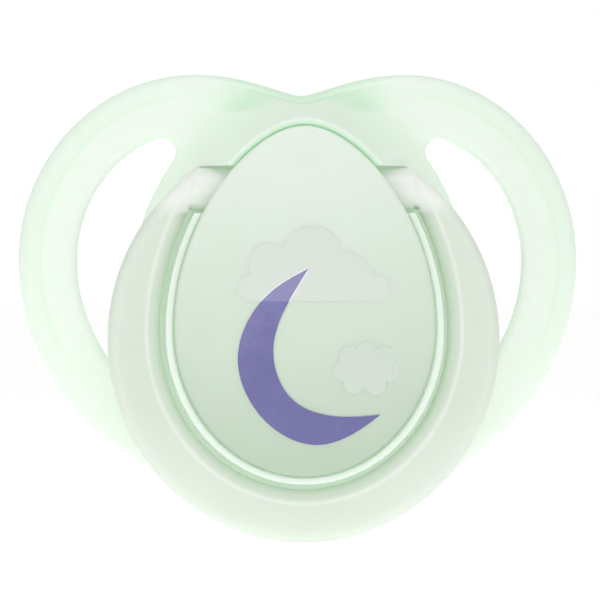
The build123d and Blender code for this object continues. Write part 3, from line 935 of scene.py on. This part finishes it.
def put(tree, kind, inputs=(), **settings):
    """Adds a node. inputs gives each socket, by name or number, a value or another node's
    output; settings are the node's own."""
    node = tree.nodes.new(kind)
    for key, value in settings.items():
        setattr(node, key, value)
    for key, value in dict(inputs).items():
        if isinstance(value, bpy.types.NodeSocket):
            tree.links.new(value, node.inputs[key])
        else:
            node.inputs[key].default_value = value
    return node


def new_material(name, **shader):
    """A material with one Principled shader, whose uniform values are set on its own sockets."""
    material = bpy.data.materials.new(name)
    material.use_nodes = True
    material.cycles.emission_sampling = "NONE"  # any glow is too faint to be sampled as a light
    tree = material.node_tree
    tree.nodes.clear()
    surface = put(tree, "ShaderNodeBsdfPrincipled", shader)
    put(tree, "ShaderNodeOutputMaterial", {"Surface": surface.outputs[0]})
    return material, tree, surface


def rgba(values):
    """Three linear numbers, fully opaque."""
    return (*values, 1.0)


def noise(tree, size_mm, detail=2.0, roughness=0.5):
    """Noise whose blotches are about the given size across, on Object coordinates in metres."""
    place = put(tree, "ShaderNodeTexCoord").outputs["Object"]
    settings = {"Vector": place, "Scale": 1 / (size_mm * MM), "Detail": detail, "Roughness": roughness}
    return put(tree, "ShaderNodeTexNoise", settings).outputs["Fac"]


def shade_and_ink_share(tree):
    """The piece's own attribute, which says how far its colour goes to its second colour at each point:
    painted shade and painted light on the plastics, the ink's share on the prints.
    """
    return put(tree, "ShaderNodeAttribute", attribute_name="depth").outputs["Fac"]


def mixed(tree, factor, a, b):
    """A mix of two colours, each given as linear numbers or as a node's output."""
    a, b = (c if isinstance(c, bpy.types.NodeSocket) else rgba(c) for c in (a, b))
    return put(tree, "ShaderNodeMix", {"Factor": factor, "A": a, "B": b}, data_type="RGBA").outputs["Result"]


def ranged(tree, value, low, high, start=0.0, end=1.0):
    """A value that runs from start to end, carried over to run from low to high."""
    settings = {"Value": value, "From Min": start, "From Max": end, "To Min": low, "To Max": high}
    return put(tree, "ShaderNodeMapRange", settings).outputs[0]


def bumped(tree, height, strength, distance_mm):
    """The surface's normal, tilted by a pattern of heights."""
    settings = {"Height": height, "Strength": strength, "Distance": distance_mm * MM}
    return put(tree, "ShaderNodeBump", settings).outputs[0]


def dressed(material, tree, surface, colour, rough=None, normal=None):
    """The material, with its shader's colour, roughness and normal fed by nodes."""
    for socket, source in (("Base Color", colour), ("Roughness", rough), ("Normal", normal)):
        if source is not None:
            tree.links.new(source, surface.inputs[socket])
    return material


def moulded_plastic(name, face, deep, roughness, subsurface, glow=0.0, cloudiness=0.05, grain_mm=0.9):
    """Translucent polypropylene from a polished mould. Its colour runs from face to deep by the
    piece's "depth" attribute, which carries painted shade and painted light; the mould leaves a very
    faint orange peel, and the milkiness varies softly over a few millimetres. The faint glow is
    painted light, standing for light that comes in at the back and edges and fills the gaps between parts."""
    material, tree, surface = new_material(name, **{
        "Roughness": roughness, "IOR": 1.49, "Subsurface Weight": subsurface,
        "Subsurface Radius": (1.0, 1.2, 1.0), "Subsurface Scale": 0.003,
        "Emission Color": rgba(deep), "Emission Strength": glow,
    })
    cloudy = put(
        tree, "ShaderNodeMath", {0: noise(tree, 5.0), 1: cloudiness}, operation="MULTIPLY"
    ).outputs[0]
    share = put(
        tree, "ShaderNodeMath", {0: shade_and_ink_share(tree), 1: cloudy}, operation="ADD", use_clamp=True
    ).outputs[0]
    smear = ranged(tree, noise(tree, 2.2), roughness - 0.04, roughness + 0.04)
    peel = bumped(tree, noise(tree, grain_mm), 0.05, 0.02)
    return dressed(material, tree, surface, mixed(tree, share, face, deep), smear, peel)


def silicone(name, tint):
    """Clear liquid silicone from a fine matt mould: soft, slightly cloudy, with a satin sheen and
    a fine grain that spreads its highlights, and a faint glow of painted light that brightens it."""
    material, tree, surface = new_material(name, **{
        "IOR": 1.41, "Subsurface Weight": 0.5, "Subsurface Radius": (1.0, 1.0, 0.9),
        "Subsurface Scale": 0.002, "Transmission Weight": 0.25,
        "Emission Color": rgba(tint), "Emission Strength": 0.1,
    })
    milk = ranged(tree, noise(tree, 3.0), 0.0, 0.12)
    cloudy = mixed(tree, milk, tint, [c * 0.86 for c in tint])
    matt = ranged(tree, noise(tree, 1.2), 0.30, 0.38)
    return dressed(material, tree, surface, cloudy, matt, bumped(tree, noise(tree, 0.25), 0.12, 0.02))


def moon_ink(name, base, dark, tip):
    """Lilac pad-printing ink with an airbrushed grain: fine dark stipples, closer together along
    the belly of the moon, and a paler tip where the ink lies over the white cloud."""
    material, tree, surface = new_material(name, **{"IOR": 1.5, "Specular IOR Level": 0.4})
    grain = noise(tree, 0.16, 1.0, 0.6)
    patch = noise(tree, 2.6)
    dense = put(tree, "ShaderNodeMath", {0: grain, 1: patch}, operation="ADD").outputs[0]
    inked = put(
        tree, "ShaderNodeMath", {0: shade_and_ink_share(tree), 1: 0.55, 2: dense}, operation="MULTIPLY_ADD"
    ).outputs[0]
    body = mixed(tree, ranged(tree, inked, 0.0, 1.0, 0.92, 1.5), base, dark)
    place = put(tree, "ShaderNodeTexCoord").outputs["Object"]
    height = put(tree, "ShaderNodeSeparateXYZ", {0: place}).outputs["Z"]
    cloud_base = (LARGE_CLOUD[0][1] + LARGE_CLOUD[3]) * MM
    over = put(tree, "ShaderNodeMath", {0: height, 1: cloud_base}, operation="GREATER_THAN").outputs[0]
    ink, matt = mixed(tree, over, body, tip), ranged(tree, grain, 0.42, 0.6)
    return dressed(material, tree, surface, ink, matt, bumped(tree, grain, 0.15, 0.01))


def cloud_ink(name, base, thick):
    """Thin white pad-printing ink that lets the green through, with a fine screen grain. Where
    it is laid thick, as in the line round the moon's tip, it is nearly pure white. The clouds also go
    part way to that white towards their tops: painted light."""
    material, tree, surface = new_material(name, **{"IOR": 1.5, "Specular IOR Level": 0.4})
    grain = noise(tree, 0.22, 1.0)
    thin = mixed(tree, grain, base, [c * 0.93 for c in base])
    ink = mixed(tree, shade_and_ink_share(tree), thin, thick)
    return dressed(material, tree, surface, ink, ranged(tree, grain, 0.35, 0.5))


def card(name, base):
    """Matt white card, flat and faintly clouded, with a glow of its own that leaves only the
    closest shadows showing."""
    material, tree, surface = new_material(name, **{
        "Roughness": 0.9, "Specular IOR Level": 0.1,
        "Emission Color": (1, 1, 1, 1), "Emission Strength": 0.42,
    })
    return dressed(material, tree, surface, mixed(tree, noise(tree, 0.6), base, [c * 0.985 for c in base]))


def finish_colour(name):
    """A finish's colour from the sidebar, as linear numbers."""
    return list(getattr(bpy.context.scene.soother_finishes, name))


# World light at the horizon and overhead; softboxes as name, place, width and height, and watts;
# then the camera's azimuth and elevation, its distance, what it spans at its aim, and its aim.
SKY_LOW, SKY_HIGH = 0.45, 0.64
SOFTBOXES = (
    ("softbox_above", (0.0, -0.28, 0.55), (0.5, 0.3), 0.82),
    ("softbox_left", (-0.5, -0.35, 0.15), (0.3, 0.4), 0.16),
)
VIEW = (-3.0, 0.4)
CAMERA_DISTANCE = 1.1
VIEW_WIDTH = 0.06216
AIM = (0.0, 0.002, 0.0)


# ---- operators ---------------------------------------------------------------------------


class SOOTHER_OT_shield(Operator):
    """Build the shield with its loops, brow, collar, slots and socket"""

    bl_idname = "soother.shield"
    bl_label = "Build shield"

    def execute(self, context):
        shield = Shield()
        s, c = shield.s, shield.collar
        egg = side_of_egg(shield.cap)[::4]
        finish = moulded_plastic(
            "polypropylene_mint_moulded", finish_colour("shield"), finish_colour("shield_shaded"),
            0.33, 0.6, 0.13,
        )

        def shade(x, y, z, steep):
            # Painted shade: on faces that turn away from the front, in a line along the loops' crease and on
            # the facet outside it, in the dip under the brow's edge, in a band round the cap's upper rim that
            # paints the seam wider, and faintly near the brow's middle; the collar and brow that stand
            # forward take a set share.
            near_brow = smooth_step(9.5, 4.5, np.hypot(x / 1.5, np.maximum(21.5 - z, 0)))
            dip_shade = smooth_step(-5.0, -2.0, y) * smooth_step(10.5, 5.5, np.abs(x)) * (z > 19.5) * (y < 1)
            from_cap, inset = distances(x, z, egg), distances(x, z, shield.rim)
            angle = np.degrees(np.arctan2(z - s.widest_height, np.abs(x)))
            sides = smooth_step(-32, -12, angle) * smooth_step(66, 45, angle)
            crease = smooth_step(0.3, 0.0, np.abs(inset - s.crease_inset)) * sides
            in_slot = (z > c.slot_foot - 0.1) * (z < c.slot_top + 0.1) * (np.abs(x) < 12)
            seam = smooth_step(0.62, 0.34, from_cap) * smooth_step(10.0, 15.0, z) * (y < -5)
            collar = smooth_step(-5.0, -7.0, y)
            turned_away_shade = steep**0.8 * (1 - 0.6 * collar) * (1 - in_slot)
            facet = sides * (inset < s.crease_inset)
            # Each part's share of the shaded colour: painted shade.
            tint = 0.42 * turned_away_shade + 0.02 * near_brow + 0.22 * collar
            tint += 0.22 * crease + 0.06 * facet
            return tint + 0.45 * dip_shade + 0.8 * seam

        grids = mirrored(shield.grids()) + bearings_and_posts(c, shield.cap)
        make_piece("shield_moulding", grids, SOOTHER, ["shield"], finish, shade)
        return {"FINISHED"}


class SOOTHER_OT_ring(Operator):
    """Build the ring handle with its knuckles and pins"""

    bl_idname = "soother.ring"
    bl_label = "Build ring handle"

    def execute(self, context):
        finish = moulded_plastic(
            "polypropylene_milky_glow", finish_colour("ring"), finish_colour("ring_shaded"), 0.34, 0.6, 0.11
        )
        r, cap = sizes("soother_ring"), sizes("soother_cap")
        opening = side_of_egg(cap, r.opening)[::4]

        def shade(x, y, z, steep):
            # Painted shade and painted light, as shares of the shaded colour: the bevel inside the crease
            # darker, a painted highlight along the crease, the arms much paler against the shade of the cap
            # beside them, the lower part paler against the floor's shade, and the outer edges darker where
            # they turn away.
            inset = distances(x, z, opening)
            bevel = smooth_step(r.crease_inset + 0.05, r.crease_inset - 0.15, inset)
            crest = smooth_step(0.3, 0.0, np.abs(inset - r.crease_inset - 0.15))
            outer = smooth_step(14.5, 18.0, np.hypot(x, z + 2.0))
            arm = smooth_step(8.5, 10.5, z)
            low = smooth_step(-10.0, -19.0, z)
            band = 0.5 - 0.13 * low + 0.12 * bevel - 0.3 * crest
            return band * (1 - 0.9 * arm) + 0.3 * steep**0.8 * outer

        grids = ring_grids(r, cap)
        make_piece("ring_handle_moulding", grids, RING, ["ring_handle"], finish, shade)
        return {"FINISHED"}


class SOOTHER_OT_cap(Operator):
    """Build the egg-shaped button cap"""

    bl_idname = "soother.cap"
    bl_label = "Build button cap"

    def execute(self, context):
        cap = sizes("soother_cap")
        finish = moulded_plastic(
            "polypropylene_gloss_cap", finish_colour("cap"), finish_colour("cap_shaded"), 0.22, 0.15, 0.09
        )

        def shade(x, y, z, steep):
            # Painted shade: the cap darker towards its foot and where its faces turn away.
            down = np.clip((cap.top - z) / (cap.top - cap.bottom), 0, 1)
            return 0.95 * down**1.15 + 0.3 * steep

        grids = cap_grids(cap)
        make_piece("button_cap_moulding", grids, SOOTHER, ["button_cap"], finish, shade)
        return {"FINISHED"}


class SOOTHER_OT_prints(Operator):
    """Lay the moon and the two clouds on the cap as films of ink"""

    bl_idname = "soother.prints"
    bl_label = "Print moon and clouds"

    def execute(self, context):
        cap, p = sizes("soother_cap"), sizes("soother_print")
        lilac = moon_ink(
            "pad_printing_ink_lilac",
            *(finish_colour(name) for name in ("moon", "moon_dark", "moon_tip")),
        )
        white = cloud_ink("pad_printing_ink_white", finish_colour("cloud"), finish_colour("halo"))
        outer, inner = moon_sides(240)
        moon = film(between(outer, inner, np.linspace(0, 1, 16)), cap, p.moon_lift, p.root)

        def belly(x, y, z, steep):
            return smooth_step(5.0, 12.0, np.hypot(x + 9.0, z - 3.0)) * 0.9

        def thick(x, y, z, steep):
            # The halo takes the thick white; elsewhere the clouds take up to a quarter of it towards their
            # tops, as painted light.
            on_halo = -y - dome_at(cap, x, z) > (p.cloud_lift + p.halo_lift) / 2
            return np.where(on_halo, 1.0, 0.25 * smooth_step(-3.5, 1.0, z))

        make_piece("moon_ink_film", [moon], SOOTHER, ["moon_print"], lilac, belly)
        large = [cloud_grid(LARGE_CLOUD, cap, p), *halo_grids(cap, p)]
        make_piece("large_cloud_ink_film", large, SOOTHER, ["large_cloud_print"], white, thick)
        small = [cloud_grid(SMALL_CLOUD, cap, p)]
        make_piece("small_cloud_ink_film", small, SOOTHER, ["small_cloud_print"], white, thick)
        return {"FINISHED"}


class SOOTHER_OT_teat(Operator):
    """Build the silicone teat, and give the plug its finish"""

    bl_idname = "soother.teat"
    bl_label = "Build teat"

    def execute(self, context):
        finish = silicone("silicone_clear_satin", finish_colour("silicone"))
        grids = teat_grids(sizes("soother_teat"))
        make_piece("teat_silicone", grids, SOOTHER, ["teat"], finish)
        natural = moulded_plastic(
            "polypropylene_natural", finish_colour("plug"), [c * 0.9 for c in finish_colour("plug")], 0.4, 0.3
        )
        plug = frame["nodes"]["teat_plug"]
        plug.data.materials.clear()
        plug.data.materials.append(natural)
        return {"FINISHED"}


class SOOTHER_OT_stage(Operator):
    """Lay the floor, hang the lights and aim the camera"""

    bl_idname = "soother.stage"
    bl_label = "Set the stage"

    def execute(self, context):
        scene = context.scene
        floor_height = RING_LOW.z * MM
        reach, count = 3.0, 41
        line = np.linspace(-reach, reach, count)
        x, y = np.meshgrid(line, line)
        corners = np.stack([x, y, np.full_like(x, floor_height)], axis=-1).reshape(-1, 3)
        index = np.arange(count * count).reshape(count, count)
        quads = np.stack([index[:-1, :-1], index[:-1, 1:], index[1:, 1:], index[1:, :-1]], axis=-1)
        mesh = bpy.data.meshes.new("floor")
        mesh.from_pydata(corners.tolist(), [], quads.reshape(-1, 4).tolist())
        mesh.materials.append(card("card_matt_white", finish_colour("floor")))
        floor = bpy.data.objects.new("floor", mesh)
        scene.collection.objects.link(floor)

        world = bpy.data.worlds.new("studio")
        world.use_nodes = True
        tree = world.node_tree
        tree.nodes.clear()
        direction = put(tree, "ShaderNodeTexCoord").outputs["Generated"]
        up = put(tree, "ShaderNodeSeparateXYZ", {0: direction}).outputs["Z"]
        sky = put(tree, "ShaderNodeMapRange", {
            "Value": up, "From Min": -0.2, "From Max": 1.0, "To Min": SKY_LOW, "To Max": SKY_HIGH,
        }).outputs[0]
        lit = put(tree, "ShaderNodeBackground", {"Color": (1, 1, 1, 1), "Strength": sky}).outputs[0]
        seen = put(tree, "ShaderNodeBackground", {"Color": (1, 1, 1, 1), "Strength": 1.0}).outputs[0]
        camera_ray = put(tree, "ShaderNodeLightPath").outputs["Is Camera Ray"]
        mix = put(tree, "ShaderNodeMixShader", {0: camera_ray, 1: lit, 2: seen}).outputs[0]
        put(tree, "ShaderNodeOutputWorld", {"Surface": mix})
        scene.world = world

        for name, place, size, power in SOFTBOXES:
            light = bpy.data.lights.new(name, "AREA")
            light.shape, light.size, light.size_y, light.energy = "RECTANGLE", *size, power
            lamp = bpy.data.objects.new(name, light)
            lamp.location = place
            lamp.rotation_euler = (-Vector(place)).to_track_quat("-Z", "Y").to_euler()
            scene.collection.objects.link(lamp)

        azimuth, elevation = (math.radians(a) for a in VIEW)
        back = Vector((
            math.sin(azimuth) * math.cos(elevation), -math.cos(azimuth) * math.cos(elevation),
            math.sin(elevation),
        ))
        camera = bpy.data.cameras.new("camera")
        camera.sensor_width = 36.0
        camera.lens = camera.sensor_width * CAMERA_DISTANCE / VIEW_WIDTH
        camera.clip_start, camera.clip_end = 0.01, 20
        scene.camera = bpy.data.objects.new("camera", camera)
        scene.camera.location = Vector(AIM) + back * CAMERA_DISTANCE
        scene.camera.rotation_euler = back.to_track_quat("Z", "Y").to_euler()
        scene.collection.objects.link(scene.camera)
        scene.view_settings.view_transform = "Standard"
        return {"FINISHED"}


OPERATORS = (
    SOOTHER_OT_shield, SOOTHER_OT_ring, SOOTHER_OT_cap, SOOTHER_OT_prints, SOOTHER_OT_teat, SOOTHER_OT_stage,
)


class SOOTHER_PT_pieces(Panel):
    """Sizes, finishes and pieces of the soother"""

    bl_idname = "SOOTHER_PT_pieces"
    bl_label = "Soother"
    bl_space_type = "VIEW_3D"
    bl_region_type = "UI"
    bl_category = "Soother"

    def draw(self, context):
        for name in [*GROUPS, "soother_finishes"]:
            group = getattr(context.scene, name)
            box = self.layout.box()
            box.label(text=name.replace("_", " ").capitalize())
            for key in type(group).__annotations__:
                box.prop(group, key)
        for operator in OPERATORS:
            self.layout.operator(operator.bl_idname)


CLASSES = (*GROUPS.values(), Finishes, *OPERATORS, SOOTHER_PT_pieces)


def register():
    for cls in CLASSES:
        bpy.utils.register_class(cls)
    for name, group in {**GROUPS, "soother_finishes": Finishes}.items():
        setattr(bpy.types.Scene, name, PointerProperty(type=group))


def unregister():
    for name in [*GROUPS, "soother_finishes"]:
        delattr(bpy.types.Scene, name)
    for cls in reversed(CLASSES):
        bpy.utils.unregister_class(cls)


def main():
    register()
    bpy.ops.soother.shield()
    bpy.ops.soother.ring()
    bpy.ops.soother.cap()
    bpy.ops.soother.prints()
    bpy.ops.soother.teat()
    bpy.ops.soother.stage()


if __name__ == "__main__":
    main()
